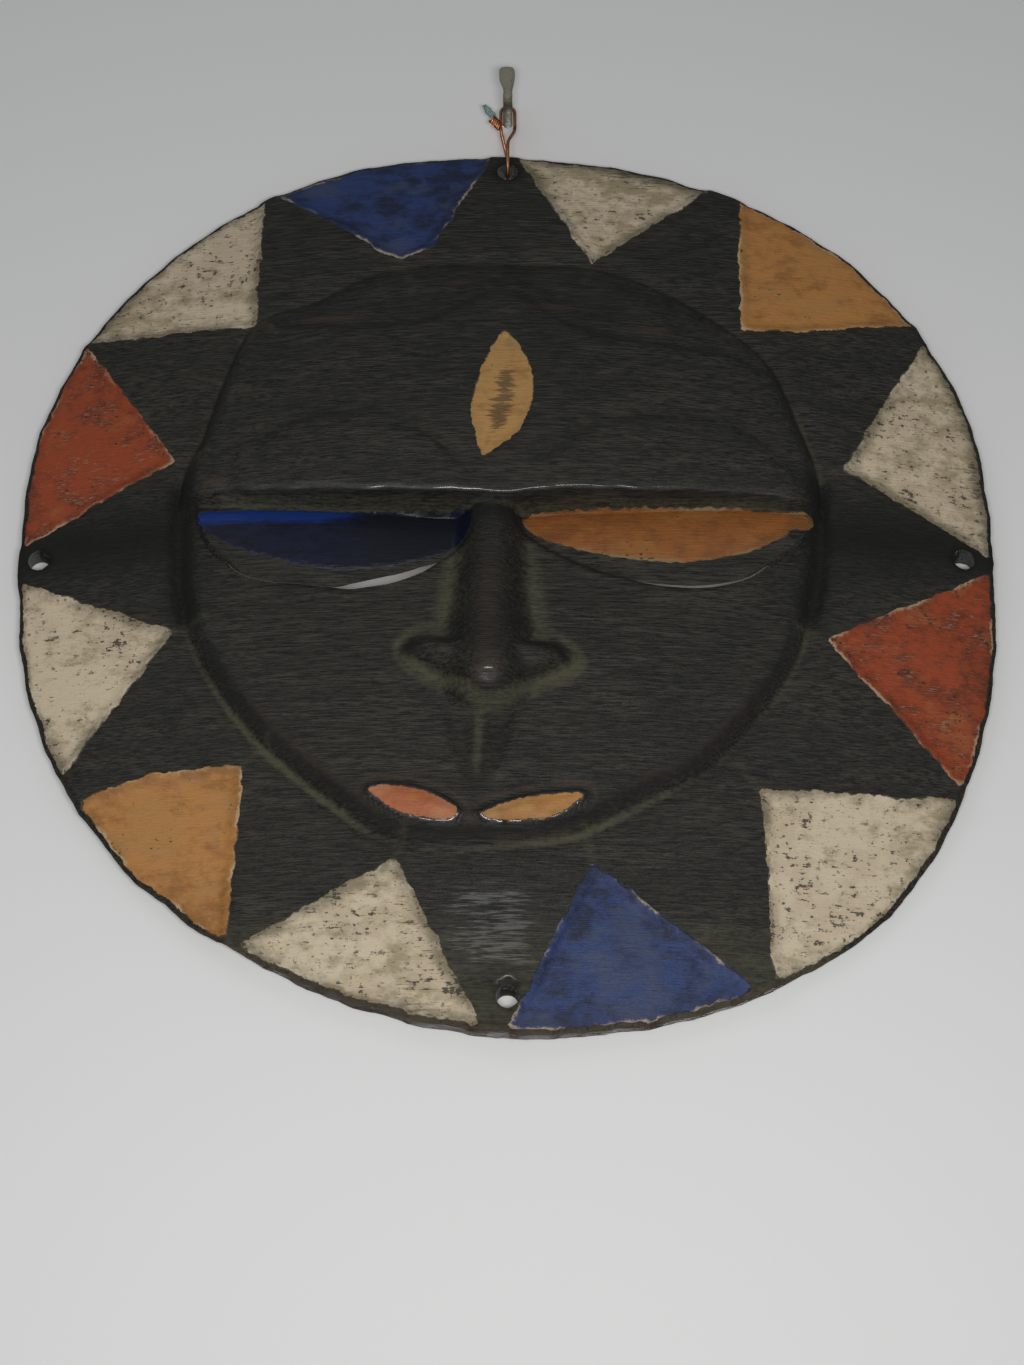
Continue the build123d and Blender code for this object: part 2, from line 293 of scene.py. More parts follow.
lens = [(-1.5, 89.5), (4, 83), (9, 72), (10.5, 62), (9.5, 50), (4, 38), (-4, 31), (-10, 27.5), (-13, 36),
        (-15, 49), (-13.5, 60), (-10, 72), (-6, 82)]

faceLoop = smoothLine(face["outline"], 1.6, True)
browLine = wobble(smoothLine(face["browLip"], 1.1), 0.35, 9.0, 1.0)
hairline = smoothLine(face["hairline"], 1.6)
browArcs = [smoothLine(points, 1.6) for points in face["browArcs"]]
slits = {side: smoothLine(eye["slit"], 1.0) for side, eye in eyes.items()}
wingLoop = smoothLine(nose["wings"], 1.2, True)
philtrumLoop = evenly(nose["philtrum"], 1.4, True)
philtrumRidge = np.array([(-11, -79), (-12, -98), (-12, -118)], float)
lipLoops = {side: smoothLine(mouth[side], 0.9, True) for side in ("left", "right")}
lensLoop = wobble(smoothLine(lens, 1.0, True), 0.3, 4.0, 2.0, True)
sideLines = {name: fieldSides(fields[name][1], 1.7 * i) for i, name in enumerate(fields)}


def eyeOpening(side):
    # the two edges of the cut under the lid, as one loop
    line = slits[side]
    places, widths = eyes[side]["open"]
    line = line[(line[:, 0] > places[0]) & (line[:, 0] < places[-1])]
    half = np.interp(line[:, 0], places, widths)[:, None] / 2
    up = normals(line)
    up *= np.sign(up[:, 1:])
    return np.vstack([line + up * half, (line - up * half)[::-1]])


def ring(centre, radius, count):
    turns = np.linspace(0, math.tau, count, endpoint=False)
    return np.array(centre) + aroundMiddle(radius, turns)


openings = [eyeOpening(side) for side in eyes]
holeLoops = [wobble(ring(hole, carving["holeRadius"], 30), 0.2 if i else 0.0, 3.0, i, True)
             for i, hole in enumerate(carving["holes"])]


def dome(points, shape):
    top, middleX, middleY, across, upwards = shape
    x, y = points.T
    return top - (x - middleX) ** 2 / across - (y - middleY) ** 2 / upwards


def lidHeight(points, eye):
    x, y = points.T
    curl = (y - lid["level"]) ** 2 / np.where(y > lid["level"], lid["above"], lid["below"])
    return lid["top"] - (x - eye["middle"]) ** 2 / lid["across"] - curl


def foreheadHeight(points):
    x, y = points.T
    height = dome(points, face["forehead"])
    above = y - np.interp(x, hairline[:, 0], hairline[:, 1])
    height -= 1.6 * ease(above / 16) + 1.0 * swell(nearLine(points, hairline), 1.5)
    for arc in browArcs:
        below = np.interp(x, arc[:, 0], arc[:, 1]) - y
        height -= 0.6 * swell(nearLine(points, arc), 1.6)
        height += 1.1 * ease(below / 9) * ease((x - arc[0, 0]) / 9) * ease((arc[-1, 0] - x) / 9)
    return height


def noseHeight(points, bed):
    x, y = points.T
    crest = np.interp(y, nose["ridgeY"], nose["ridgeHeight"])
    u = np.abs(x - np.interp(y, *nose["ridgeX"])) / np.interp(y, *nose["halfWidth"])
    ridge = (crest - bed) * (1 - ease(u ** 1.3)) * ease((12 - y) / 3) * ease((y + 80) / 3)
    depth = inward(points, wingLoop)
    width = 4.5 + 11.0 * ease((y + 66) / 16)
    out = np.clip(np.abs(x + 8) / 33, 0, 1)
    wing = (7.5 - 1.5 * out) * ease((depth + 0.4) / width)
    for middle in nose["nostrils"]:
        wing += 3.6 * ease((1.25 - np.hypot((x - middle[0]) / 11, (y - middle[1]) / 7)) / 0.9)
    return bed + np.cbrt(np.maximum(ridge, 0) ** 3 + wing ** 3)


def faceHeight(points):
    x, y = points.T
    height = dome(points, face["cheeks"])
    brow = np.interp(x, browLine[:, 0], browLine[:, 1])
    under = brow - y
    forehead = foreheadHeight(np.stack([x, np.maximum(y, brow)], axis=1))
    lip = forehead - 1.0 * np.clip(1 - (y - brow) / 1.5, 0, 1) ** 2
    for side, eye in eyes.items():
        line = slits[side]
        socket = np.interp(x, line[:, 0], line[:, 1], left=50, right=50)
        gap = nearLine(points, line) * np.where(y > socket, 1, -1)
        height += 0.7 * swell(gap + 3, 2.5)
        height += (lidHeight(points, eye) - height) * ease((gap + 0.7) / 1.4)
    height = np.maximum(height, noseHeight(points, height))
    cove = np.where(x < -5, eyes["left"]["cove"], eyes["right"]["cove"])
    fall = 1 - (1 - np.clip(under / cove, 0, 1)) ** 2.2
    cap = lip + 14 * ease((under - 5) / 40)
    height = np.where(under > 0, lip + (np.minimum(height, cap) - lip) * fall, lip)
    depth = inward(points, philtrumLoop)
    valley = 1 - swell(nearLine(points, philtrumRidge), 6.0)
    height -= 2.6 * ease((depth + 1) / 8) * valley
    for loop in lipLoops.values():
        depth = inward(points, loop)
        dent = 0.5 * ease(depth / 0.7)
        height += mouth["rise"] * ease((depth + 2.8) / 2.4) - dent + 1.0 * ease(depth / 4.5)
    height += 1.6 * swell(x + 15, 5) * swell(y + 121, 1.8)
    depth = inward(points, lensLoop)
    return height - 1.3 * ease(depth / 1.8)


def templeBand(x, y):
    # 1 beside the eyes, where the face is cut off steeply, and 0 elsewhere
    return ease((np.abs(x + 3) - 95) / 15) * ease((y + 42) / 14) * ease((34 - y) / 10)


def frontHeight(points):
    x, y = points.T
    height = crown - domeRadius + np.sqrt(domeRadius ** 2 - x ** 2 - y ** 2)
    for line in sideLines.values():
        far = line[[0, -1]] * 1.4
        inField = within(points, np.vstack([far[:1], line, far[1:]]))
        depth = nearLine(points, line) * np.where(inField, 1, -1)
        height -= pocket["depth"] * ease((depth + 0.2) / pocket["bevel"])
    depth = inward(points, faceLoop, 60)
    soft = ease((y - 20) / 90) * ease((110 - np.abs(x)) / 60)
    flank = face["flank"] + (face["softFlank"] - face["flank"]) * soft
    t = np.clip(depth / flank, 0, 1)
    t = 1 - (1 - t) ** 1.8
    near = depth > -1
    raised = height.copy()
    raised[near] = faceHeight(points[near])
    height += (raised - height) * t
    height -= face["groove"] * swell(depth + 0.6, 2.0)
    height -= face["temple"] * templeBand(x, y) * swell(depth - 1.5, 3.2)
    ripple = np.sin(x / 15 + 1.3 + np.sin(y / 21)) * np.sin(y / 11 + 0.7)
    ripple += 0.7 * np.sin(x / 7.3 + y / 9.1 + 2)
    height += 0.16 * ripple
    edge = nearLine(points, outline, True, 6)
    height -= 1.5 * np.clip(1 - edge / 1.8, 0, 1) ** 2
    for loop in holeLoops:
        height -= 0.8 * np.clip(1 - nearLine(points, loop, True, 6) / 1.6, 0, 1) ** 2
    return height


def backHeight(points):
    radius = (carving["hollowRadius"] ** 2 + carving["hollowDepth"] ** 2) / (2 * carving["hollowDepth"])
    reach = np.minimum(np.hypot(*points.T), carving["hollowRadius"])
    bowl = carving["hollowDepth"] - radius + np.sqrt(radius ** 2 - reach ** 2)
    x, y = points.T
    return bowl + 0.35 * ease(bowl / 2) * np.sin(x / 6 + np.sin(y / 17)) * np.sin(y / 9)


class Pattern:
    # points and edges that one flat sheet of triangles is made through
    def __init__(self):
        self.points = []
        self.edges = []

    def line(self, points, closed=False):
        start, count = len(self.points), len(points)
        self.points.extend(map(tuple, points))
        self.edges.extend((start + i, start + i + 1) for i in range(count - 1))
        if closed:
            self.edges.append((start + count - 1, start))

    def scatter(self, points, gap):
        tree = kdtree.KDTree(len(self.points))
        for i, point in enumerate(self.points):
            tree.insert((*point, 0), i)
        tree.balance()
        self.points.extend(tuple(p) for p in points if tree.find((*p, 0))[2] > gap)

    def triangles(self):
        flatPoints = [Vector(point) for point in self.points]
        found = geometry.delaunay_2d_cdt(flatPoints, self.edges, [], 0, 1e-6, False)
        return np.array([tuple(v) for v in found[0]]), np.array([tuple(f) for f in found[2]])


def honeycomb(low, high, step):
    rows = np.arange(low[1], high[1], step * 0.866)
    columns = np.arange(low[0], high[0], step)
    x, y = np.meshgrid(columns, rows)
    x = x + np.where(np.arange(len(rows)) % 2, step / 2, 0)[:, None]
    return np.stack([x.ravel(), y.ravel()], axis=1)


def boundaryEdges(triangles):
    directed = np.vstack([triangles[:, [0, 1]], triangles[:, [1, 2]], triangles[:, [2, 0]]])
    known = set(map(tuple, directed))
    return [edge for edge in map(tuple, directed) if edge[::-1] not in known]


def onlyUsed(points, triangles):
    used = np.unique(triangles)
    number = np.full(len(points), -1)
    number[used] = np.arange(len(used))
    return points[used], number[triangles]


print("carving lines ready")
paintLoops = {"rim_field_" + name: paintLoop(sideLines[name], 2.3 * i) for i, name in enumerate(fields)}
for side, eye in eyes.items():
    loop = smoothLine(eye["paint"], 1.0, True)
    paintLoops["eyelid_coat_" + side] = wobble(loop, 0.35, 3.0, 4.0, True)
    paintLoops["lip_coat_" + side] = wobble(lipLoops[side], 0.25, 2.0, 6.0, True)
paintLoops["forehead_lens_coat"] = wobble(lensLoop, 0.3, 1.8, 7.0, True)

front = Pattern()
front.line(outline, True)
for loop in holeLoops + openings:
    front.line(loop, True)
front.line(faceLoop, True)
front.line(browLine[(browLine[:, 0] > -122) & (browLine[:, 0] < 122)])
for line in sideLines.values():
    front.line(line[rimReach(line) > 0.9])
for loop in paintLoops.values():
    front.line(loop, True)
for inset in (0.4, 0.9, 1.7):
    front.scatter(outline + normals(outline, True) * inset, 0.3)
for inset in (-1.2, 1.4, 3.2):
    front.scatter(faceLoop + normals(faceLoop, True) * inset, 0.7)
for drop in (1.9, 0.9, -0.7, -1.6, -2.6, -3.6, -4.6):
    front.scatter(browLine[np.abs(browLine[:, 0]) < 121] + (0, drop), 0.45)
for box in (((-130, -30), (128, 24)), ((-48, -84), (31, -30)), ((-70, -131), (40, -84))):
    front.scatter(honeycomb(*box, carving["fineStep"]), carving["fineStep"] * 0.62)
reachAll = carving["rimRadius"] + 16
everywhere = ((-reachAll, -reachAll), (reachAll, reachAll))
front.scatter(honeycomb(*everywhere, carving["coarseStep"]), 1.35)
frontPoints, frontTriangles = front.triangles()
middles = frontPoints[frontTriangles].mean(axis=1)
keep = within(middles, outline)
for loop in holeLoops + openings:
    keep &= ~within(middles, loop)
frontPoints, frontTriangles = onlyUsed(frontPoints, frontTriangles[keep])
middles = middles[keep]
print("front", len(frontPoints), "points", len(frontTriangles), "triangles")


def paring(points):
    size, foot = carving["paring"]
    return (size + foot * ease((-150 - points[:, 1]) / 40))[:, None]


frontHeights = frontHeight(frontPoints)
rimEdges = boundaryEdges(frontTriangles)
rimPoints = sorted({i for edge in rimEdges for i in edge})
renumber = {old: new for new, old in enumerate(rimPoints)}
backLine = frontPoints[rimPoints].copy()
reachIn = nearLine(backLine, outline, True, 2) < 0.01
backLine[reachIn] *= paring(backLine)[reachIn]
for slit, loop in zip(slits.values(), openings):
    # the cut slants up through the wood and opens out behind
    near = nearLine(backLine, loop, True, 2) < 0.01
    upper = backLine[:, 1] > np.interp(backLine[:, 0], slit[:, 0], slit[:, 1])
    backLine[near, 1] += np.where(upper[near], *carving["slitRise"])
back = Pattern()
back.points = [tuple(p) for p in backLine]
back.edges = [(renumber[a], renumber[b]) for a, b in rimEdges]
back.scatter(honeycomb(*everywhere, carving["backStep"]), 2.4)
backPoints, backTriangles = back.triangles()
backMiddles = backPoints[backTriangles].mean(axis=1)
keep = within(backMiddles, outline * paring(outline))
for loop in holeLoops:
    keep &= ~within(backMiddles, loop)
boundaryOrder = dict(rimEdges)


def backLoop(loop):
    # the loop of shifted points that belongs to one opening
    nearest = [i for i in rimPoints if np.hypot(*(loop - frontPoints[i]).T).min() < 0.01]
    walk = [nearest[0]]
    while boundaryOrder[walk[-1]] != walk[0]:
        walk.append(boundaryOrder[walk[-1]])
    return backLine[[renumber[i] for i in walk]]


for loop in openings:
    keep &= ~within(backMiddles, backLoop(loop))
backKept = backTriangles[keep]
used = np.zeros(len(backPoints), bool)
used[:len(rimPoints)] = True
used[np.unique(backKept)] = True
number = np.cumsum(used) - 1
backPoints, backTriangles = backPoints[used], number[backKept]
backHeights = backHeight(backPoints)
print("back", len(backPoints), "points", len(backTriangles), "triangles")


def newMesh(name, vertices, faces, finishes):
    mesh = bpy.data.meshes.new(name)
    mesh.from_pydata([tuple(v) for v in vertices], [], [tuple(int(i) for i in f) for f in faces])
    mesh.update()
    piece = bpy.data.objects.new(name, mesh)
    bpy.context.scene.collection.objects.link(piece)
    for finish in finishes:
        mesh.materials.append(finish)
    return piece


def setValues(mesh, name, values):
    layer = mesh.attributes.new(name, "FLOAT", "POINT")
    layer.data.foreach_set("value", np.asarray(values, dtype=np.float32))


def smoothShade(mesh, angle):
    mesh.polygons.foreach_set("use_smooth", [True] * len(mesh.polygons))
    mesh.set_sharp_from_angle(angle=math.radians(angle))


class Value:
    # a shader socket that works in ordinary sums
    def __init__(self, tree, socket):
        self.tree = tree
        self.socket = socket

    def math(self, operation, *others):
        node = self.tree.nodes.new("ShaderNodeMath")
        node.operation = operation
        for slot, item in zip(node.inputs, (self,) + others):
            connect(self.tree, item, slot)
        return Value(self.tree, node.outputs[0])

    def __add__(self, other):
        return self.math("ADD", other)

    def __sub__(self, other):
        return self.math("SUBTRACT", other)

    def __rsub__(self, other):
        return (self * -1).math("ADD", other)

    def __mul__(self, other):
        return self.math("MULTIPLY", other)

    __radd__ = __add__
    __rmul__ = __mul__

    def clamp(self):
        node = self.tree.nodes.new("ShaderNodeClamp")
        connect(self.tree, self, node.inputs[0])
        return Value(self.tree, node.outputs[0])

    def between(self, low, high):
        # 0 below low and 1 above high, or the other way round
        node = self.tree.nodes.new("ShaderNodeMapRange")
        node.interpolation_type = "SMOOTHSTEP"
        for slot, item in zip(node.inputs, (self, low, high, 0.0, 1.0)):
            connect(self.tree, item, slot)
        return Value(self.tree, node.outputs[0])


def connect(tree, item, slot):
    if isinstance(item, Value):
        tree.links.new(item.socket, slot)
    elif isinstance(item, (tuple, list)) and slot.type == "RGBA" and len(item) == 3:
        slot.default_value = (*item, 1)
    else:
        slot.default_value = item


class Finish:
    def __init__(self, name, **constants):
        self.material = bpy.data.materials.new(name)
        self.material.use_nodes = True
        self.tree = self.material.node_tree
        self.shader = self.tree.nodes["Principled BSDF"]
        for slot, value in constants.items():
            self.shader.inputs[slot.replace("_", " ")].default_value = value

    def node(self, kind, settings=None, inputs=None, output=0):
        node = self.tree.nodes.new("ShaderNode" + kind)
        for name, value in (settings or {}).items():
            setattr(node, name, value)
        for name, item in (inputs or {}).items():
            connect(self.tree, item, node.inputs[name])
        return Value(self.tree, node.outputs[output])

    def place(self, scale, shift=(0, 0, 0)):
        spot = self.node("TexCoord", output="Object")
        return self.node("Mapping", inputs={"Vector": spot, "Location": shift, "Scale": scale})

    def noise(self, scale, detail=3.0, roughness=0.55, shift=(0, 0, 0)):
        return self.node("TexNoise", inputs={
            "Vector": self.place(scale, shift), "Scale": 1.0, "Detail": detail, "Roughness": roughness})

    def mix(self, amount, first, second):
        node = self.tree.nodes.new("ShaderNodeMix")
        node.data_type = "RGBA"
        for slot, item in zip((0, 6, 7), (amount, first, second)):
            connect(self.tree, item, node.inputs[slot])
        return Value(self.tree, node.outputs[2])

    def attribute(self, name):
        return self.node("Attribute", {"attribute_name": name}, output="Fac")

    def bump(self, height, distance, strength):
        return self.node("Bump", inputs={"Height": height, "Distance": distance, "Strength": strength})

    def set(self, **links):
        for slot, item in links.items():
            connect(self.tree, item, self.shader.inputs[slot.replace("_", " ")])
        return self.material


wood = {
    "dark": (0.0085, 0.0083, 0.0062),
    "mid": (0.03, 0.0286, 0.0205),
    "streak": (0.066, 0.062, 0.046),
    "dustAndLight": (0.097, 0.094, 0.056),
    "brown": (0.05, 0.031, 0.02),
    "sootAndShade": (0.006, 0.006, 0.0052),
    "pore": (0.005, 0.005, 0.0045),
    "glintPaint": (0.16, 0.158, 0.15),
    "bare": (0.034, 0.034, 0.03),
    "raw": (0.075, 0.05, 0.031),
    "grain": (70, 560, 1150),
}


def woodGrain(finish):
    return finish.noise(wood["grain"], 5.0, 0.66)


def carvedWood():
    finish = Finish("carvedWood", IOR=1.4, Coat_IOR=1.5, Coat_Roughness=0.13)
    grain = woodGrain(finish)
    fibre = finish.noise((150, 1100, 2300), 3.0, 0.6, (0.3, 0, 0))
    cloud = finish.noise((9, 20, 26), 3.0)
    patch = finish.noise((24, 70, 110), 3.0, 0.6, (0.7, 0, 0.2))
    fleck = finish.noise((420, 500, 600), 2.0, 0.6, (0.2, 0.3, 0.1))
    colour = finish.mix((grain * 1.5 + cloud * 0.7 - 0.6).clamp(), wood["dark"], wood["mid"])
    streaks = (grain * 0.45 + fibre * 0.6 + patch * 0.35).between(0.7, 0.83)
    colour = finish.mix(streaks * 0.42, colour, wood["streak"])
    pores = (grain * 0.35 + fibre * 0.65).between(0.49, 0.44)
    colour = finish.mix(pores * 0.95, colour, wood["pore"])
    wear = (finish.attribute("wear") * (0.4 + patch + fleck * 0.5)).between(0.3, 0.9)
    colour = finish.mix(wear * 0.75, colour, wood["brown"])
    # soot: real black stain, and painted shade in creases, pits, hollows and the tie holes
    sootAndShade = finish.attribute("sootAndShade")
    colour = finish.mix((sootAndShade * 0.9).clamp(), colour, wood["sootAndShade"])
    # dust, and painted light: paler on the brow's underside and a painted sheen toward the foot of the rim
    dustAndLight = finish.attribute("dustAndLight")
    dustAndLightMix = (dustAndLight * (cloud * 0.35 + grain * 0.5 + fleck * 1.0 + patch * 0.75 - 0.42)).between(0.2, 0.78)
    colour = finish.mix(dustAndLightMix * 0.66, colour, wood["dustAndLight"])
    nicks = (fleck * 0.75 + patch * 0.45).between(0.79, 0.84)
    colour = finish.mix(nicks * 0.4, colour, wood["streak"])
    # painted glints: pale scuffs at the foot of the rim stand in for glints of light on the varnish, and
    # the polish also gives the clear coat there
    polishAndGlints = finish.attribute("polishAndGlints")
    paintedGlints = (polishAndGlints * (grain * 1.3 + patch * 0.9 + fibre * 0.7 - 0.95)).between(0.42, 0.6)
    colour = finish.mix(paintedGlints * 0.5, colour, wood["glintPaint"])
    shine = finish.attribute("shine")
    colour = finish.mix(shine * 0.55, colour, wood["sootAndShade"])
    rough = (0.46 + cloud * 0.2 + dustAndLightMix * 0.25 - shine * 0.2 + sootAndShade * 0.3).clamp()
    height = grain * 0.8 + fibre * 0.35 + patch * 0.7 + fleck * 0.12
    # the back is left from the gouge, browner and in shallow cuts
    behind = finish.attribute("behind")
    gouge = finish.node("TexVoronoi", {"feature": "SMOOTH_F1"}, {
        "Vector": finish.place((34, 10, 95)), "Scale": 1.0, "Smoothness": 0.35}, "Distance")
    raw = (behind * (0.5 + cloud * 0.6)).clamp()
    colour = finish.mix(raw * 0.55, colour, wood["raw"])
    rugged = 1 - shine * 0.75
    height = height + behind * gouge * 2.5
    normal = finish.bump(height * rugged, 0.0011, 0.8)
    clean = (1.3 - sootAndShade).clamp()
    coatWeight = ((shine * (patch * 2.2 - 0.45) + polishAndGlints * (grain * 1.6 - 0.2)) * clean).clamp()
    return finish.set(Base_Color=colour, Roughness=rough, Normal=normal, Coat_Weight=coatWeight)


usualPaint = {"grime": 0.3, "scratched": 0.3, "specks": 0.72, "torn": 1.0, "heart": -0.006}
paints = {
    "white": {
        "base": (0.58, 0.49, 0.355), "second": (0.33, 0.27, 0.17), "third": (0.5, 0.405, 0.29),
        "ground": (0.22, 0.175, 0.1), "grimy": (0.17, 0.15, 0.1), "grime": 0.95, "specks": 0.645,
        "streaks": 0.755, "chips": 0.85, "border": 1.3, "rough": 0.6},
    "ochre": {
        "base": (0.43, 0.2, 0.058), "second": (0.27, 0.115, 0.03), "third": (0.4, 0.2, 0.065),
        "ground": (0.46, 0.34, 0.19), "grimy": (0.16, 0.085, 0.03), "streaks": 0.9, "chips": 0.9,
        "border": 0.9, "rough": 0.5},
    "red": {
        "base": (0.29, 0.055, 0.018), "second": (0.12, 0.028, 0.013), "third": (0.31, 0.09, 0.03),
        "ground": (0.42, 0.29, 0.18), "grimy": (0.08, 0.025, 0.012), "scratched": 0.5, "streaks": 0.84,
        "chips": 0.85, "border": 0.9, "rough": 0.48},
    "blue": {
        "base": (0.022, 0.044, 0.14), "second": (0.011, 0.017, 0.045), "third": (0.04, 0.056, 0.115),
        "ground": (0.42, 0.32, 0.24), "grimy": (0.008, 0.011, 0.028), "scratched": 0.0, "streaks": 1.2,
        "chips": 0.95, "border": 0.6, "rough": 0.5},
    "lens": {
        "base": (0.42, 0.24, 0.085), "second": (0.32, 0.16, 0.05), "third": (0.26, 0.18, 0.09),
        "ground": (0.34, 0.22, 0.09), "grimy": (0.16, 0.1, 0.04), "heart": 0.024, "streaks": 0.82,
        "chips": 0.9, "border": 1.0, "rough": 0.5},
    "lidOrange": {
        "base": (0.27, 0.098, 0.024), "second": (0.19, 0.066, 0.018), "third": (0.29, 0.125, 0.035),
        "ground": (0.2, 0.14, 0.06), "grimy": (0.12, 0.045, 0.014), "torn": 0.6, "streaks": 0.82,
        "chips": 0.88, "border": 1.2, "rough": 0.5},
    "lipOrange": {
        "base": (0.42, 0.13, 0.05), "second": (0.32, 0.095, 0.036), "third": (0.46, 0.19, 0.09),
        "ground": (0.3, 0.14, 0.06), "grimy": (0.2, 0.07, 0.03), "streaks": 0.97, "chips": 0.93,
        "border": 0.5, "rough": 0.45},
    "lipOchre": {
        "base": (0.42, 0.2, 0.058), "second": (0.34, 0.15, 0.042), "third": (0.44, 0.26, 0.1),
        "ground": (0.3, 0.16, 0.06), "grimy": (0.2, 0.1, 0.03), "streaks": 0.97, "chips": 0.93,
        "border": 0.5, "rough": 0.45},
}


def paintFinish(name):
    recipe = {**usualPaint, **paints[name]}
    finish = Finish(name + "Paint", IOR=1.36)
    grain = woodGrain(finish)
    fibre = finish.noise((150, 1100, 1900), 3.0, 0.65, (0.1, 0, 0.4))
    cloud = finish.noise((16, 30, 20), 3.0, 0.6, (0.5, 0.1, 0.9))
    patch = finish.noise((34, 60, 46), 3.0, 0.65, (0.9, 0.4, 0.3))
    mottle = finish.noise((95, 120, 150), 4.0, 0.7, (0.7, 0.5, 0.1))
    fleck = finish.noise((420, 420, 480), 3.0, 0.65, (0.2, 0.3, 0.1))
    edge = finish.attribute("edge")
    blotches = (mottle * 0.75 + cloud * 0.45).between(0.52, 0.74)
    colour = finish.mix(blotches, recipe["base"], recipe["second"])
    colour = finish.mix(patch.between(0.5, 0.62) * 0.75, colour, recipe["third"])
    scratches = (fibre * 0.6 + mottle * 0.5).between(0.6, 0.72) * recipe["scratched"]
    colour = finish.mix(scratches, colour, recipe["ground"])
    grime = edge.between(6.0, 0.4) * (cloud * 0.7 + mottle * 0.5).between(0.42, 0.72)
    colour = finish.mix(grime * recipe["grime"], colour, recipe["grimy"])
    torn = recipe["torn"]
    ragged = edge + (fleck - 0.5) * 3.5 * torn + (mottle - 0.5) * 3 * torn
    reach = recipe["border"]
    border = ragged.between(reach + 0.7, reach - 0.5) * patch.between(0.45, 0.58)
    colour = finish.mix(border * 0.85, colour, recipe["ground"])
    worn = grain * 0.6 + cloud * 0.5 + fibre * 0.25 + edge * recipe["heart"]
    worn = worn.between(recipe["streaks"], recipe["streaks"] + 0.08)
    chips = fleck * 0.45 + grain * 0.4 + mottle * 0.25 + patch * 0.4
    chips = chips.between(recipe["chips"], recipe["chips"] + 0.03)
    crumbs = (edge + (fleck - 0.5) * 2.4 + (patch - 0.5) * 1.6).between(0.35, 0.1)
    specks = (fleck * 0.65 + fibre * 0.45).between(recipe["specks"], recipe["specks"] + 0.04)
    bare = (worn * 0.75 + chips + crumbs * torn + specks * 0.7).clamp()
    colour = finish.mix(bare * 0.88, colour, wood["bare"])
    rough = (recipe["rough"] + cloud * 0.25 - 0.12 + bare * 0.08).clamp()
    height = grain * 0.6 + fibre * 0.25 + fleck * 0.3 + mottle * 0.5 - bare * 0.6
    return finish.set(Base_Color=colour, Roughness=rough, Normal=finish.bump(height, 0.0009, 0.75))


def lidBlueFinish():
    # a painted highlight of bright blue along the brow on the outer part; towards the nose the paint is
    # near black
    finish = Finish("lidBluePaint", IOR=1.33)
    grain = woodGrain(finish)
    cloud = finish.noise((30, 60, 60), 3.0, 0.6, (0.4, 0, 0.2))
    mottle = finish.noise((90, 120, 260), 4.0, 0.7, (0.7, 0.5, 0.1))
    fleck = finish.noise((420, 420, 480), 3.0, 0.6, (0.2, 0.3, 0.1))
    edge = finish.attribute("edge")
    # the painted highlight along the top of the lid
    bright = (finish.attribute("bright") + (cloud - 0.5) * 0.7 + (mottle - 0.5) * 0.5).between(0.2, 0.95)
    colour = finish.mix(mottle.between(0.35, 0.7), (0.0055, 0.0075, 0.017), (0.0085, 0.0125, 0.036))
    dim = (finish.attribute("dim") + (mottle - 0.5) * 0.4).clamp()
    colour = finish.mix(dim * 0.85, colour, (0.0065, 0.0085, 0.0105))
    colour = finish.mix(bright, colour, (0.009, 0.032, 0.17))
    border = (edge + (fleck - 0.5) * 3).between(0.8, 0.2)
    colour = finish.mix(border * 0.3, colour, (0.04, 0.045, 0.05))
    rough = (0.27 + cloud * 0.15 + border * 0.2).clamp()
    height = grain * 0.5 + fleck * 0.15 + mottle * 0.3
    return finish.set(Base_Color=colour, Roughness=rough, Normal=finish.bump(height, 0.0007, 0.6))


finishes = {name: paintFinish(name) for name in paints}
finishes["lidBlue"] = lidBlueFinish()
finishes["wood"] = carvedWood()
print("materials ready")

vertices = np.vstack([onWall(frontPoints, frontHeights), onWall(backPoints, backHeights)])
offset = len(frontPoints)
allFaces = [tuple(t) for t in frontTriangles]
allFaces += [(a + offset, c + offset, b + offset) for a, b, c in backTriangles]
allFaces += [(b, a, offset + renumber[a], offset + renumber[b]) for a, b in rimEdges]
mask = newMesh("maskBody", vertices, allFaces, [finishes["wood"]])
smoothShade(mask.data, 62)


def beside(line, width, shift=0.0):
    return swell(nearLine(frontPoints, line) + shift, width)


def spot(x, y, width):
    return swell(np.hypot(frontPoints[:, 0] - x, frontPoints[:, 1] - y), width)


def strongest(*layers):
    return np.maximum.reduce(layers)


# Dust, shine, wear, soot and polish lie on the carving as values from 0 to 1. The dust also holds painted
# light under the brow and a painted sheen at the foot, the soot painted shade in creases, pits, hollows and
# the tie holes, and the polish painted glints. Soot goes past 1 round the tie holes, where it takes the
# gloss off as well.
x, y = frontPoints.T
under = np.interp(x, browLine[:, 0], browLine[:, 1]) - y
faceDepth = inward(frontPoints, faceLoop, 60)
wingDepth = inward(frontPoints, wingLoop)
lipDepths = [inward(frontPoints, loop) for loop in lipLoops.values()]
browGap = nearLine(frontPoints, browLine, False, 10)
edgeGap = nearLine(frontPoints, outline, True, 12)
temple = templeBand(x, y)
noseSides = [np.array(side, float) for side in (
    [(-20, 3), (-24, -30), (-27, -46)], [(7, 3), (11, -30), (13, -47)])]
apexes = [min(corners, key=lambda p: math.hypot(*p)) for finish, corners in fields.values()]
apexLines = [np.array([apex, np.array(apex) * 0.9], float) for apex in apexes]

